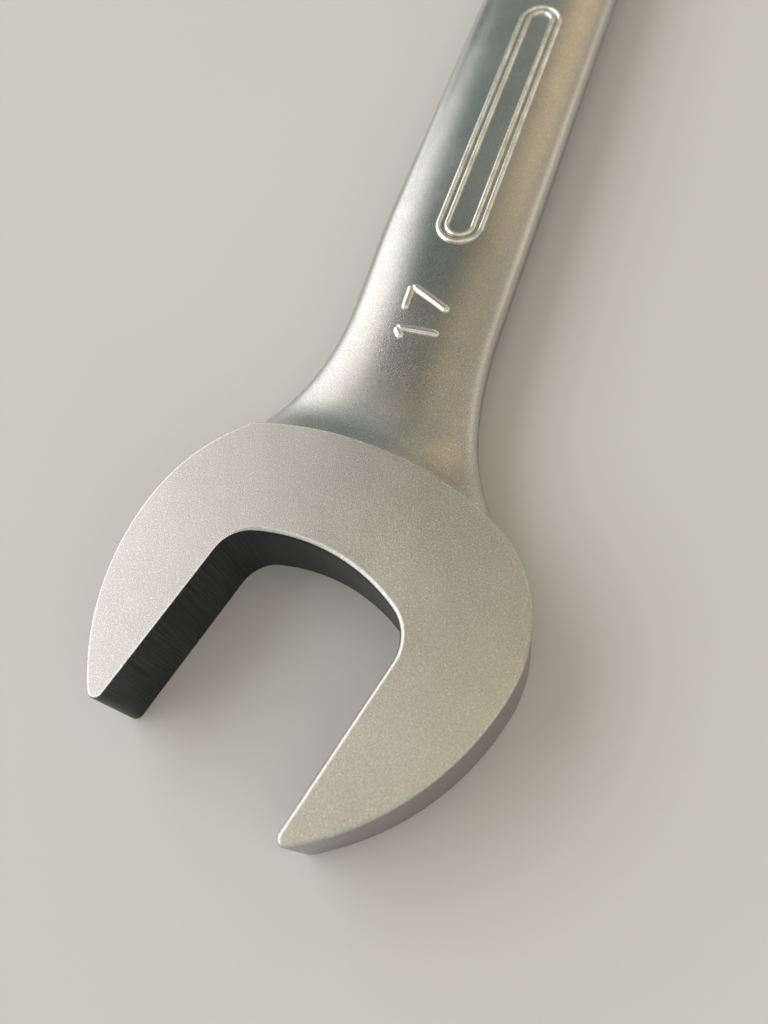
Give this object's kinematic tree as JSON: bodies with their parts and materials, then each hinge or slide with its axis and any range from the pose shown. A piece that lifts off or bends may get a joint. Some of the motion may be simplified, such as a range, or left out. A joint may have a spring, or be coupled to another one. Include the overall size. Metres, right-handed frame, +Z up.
{
  "type": "reversible ratcheting combination wrench",
  "caption": "Combination wrench with a fixed angled open jaw, an oval shank and a reversible ratcheting twelve-point ring with a thumb lever.",
  "frame": {"origin": "under the middle of the bounding box, on the plane that the ring head's underside lies in", "axes": "+X along the shank from the open jaw to the ring, +Z up along the ring's axis towards the lever side"},
  "size_m": [0.226, 0.034, 0.0126],
  "materials": {
    "satin_chrome": "bead-blasted satin chrome",
    "gear_steel": "ground and plated steel",
    "spring_steel": "oiled spring steel",
    "plated_steel": "polished plated steel",
    "black_oxide": "black oxide",
    "seal_rubber": "matt rubber"
  },
  "bodies": {
    "wrench": {"wrench_body": "satin_chrome", "gear_retaining_ring": "spring_steel", "pawl_pivot_pin": "plated_steel", "cover_plate": "satin_chrome", "cover_screw_left": "black_oxide", "cover_screw_right": "black_oxide"},
    "gear": {"ratchet_gear": "gear_steel"},
    "lever": {"reversing_lever": "satin_chrome", "lever_seal": "seal_rubber", "lever_retaining_clip": "spring_steel", "detent_spring": "spring_steel"},
    "pawl": {"pawl": "gear_steel"},
    "plunger": {"detent_plunger": "plated_steel"}
  },
  "joints": [
    {"name": "gear_spin", "type": "hinge", "parent": "wrench", "child": "gear", "pos_m": [0.09651, 0.00054, 0.0052], "axis": [0, 0, 1], "continuous": true},
    {"name": "lever_swing", "type": "hinge", "parent": "wrench", "child": "lever", "pos_m": [0.07321, 0.00054, 0.0052], "axis": [0, 0, 1], "range_deg": [0, 40]},
    {"name": "pawl_rock", "type": "hinge", "parent": "wrench", "child": "pawl", "pos_m": [0.08031, 0.00054, 0.0052], "axis": [0, 0, 1], "range_deg": [-12, 0]},
    {"name": "plunger_slide", "type": "slide", "parent": "lever", "child": "plunger", "axis": [0.9397, -0.342, 0], "range_m": [-0.0006, 0], "deforming": ["detent_spring"]}
  ],
  "couplings": [
    {"joint": "pawl_rock", "follows": "lever_swing", "ratio": -0.3}
  ]
}
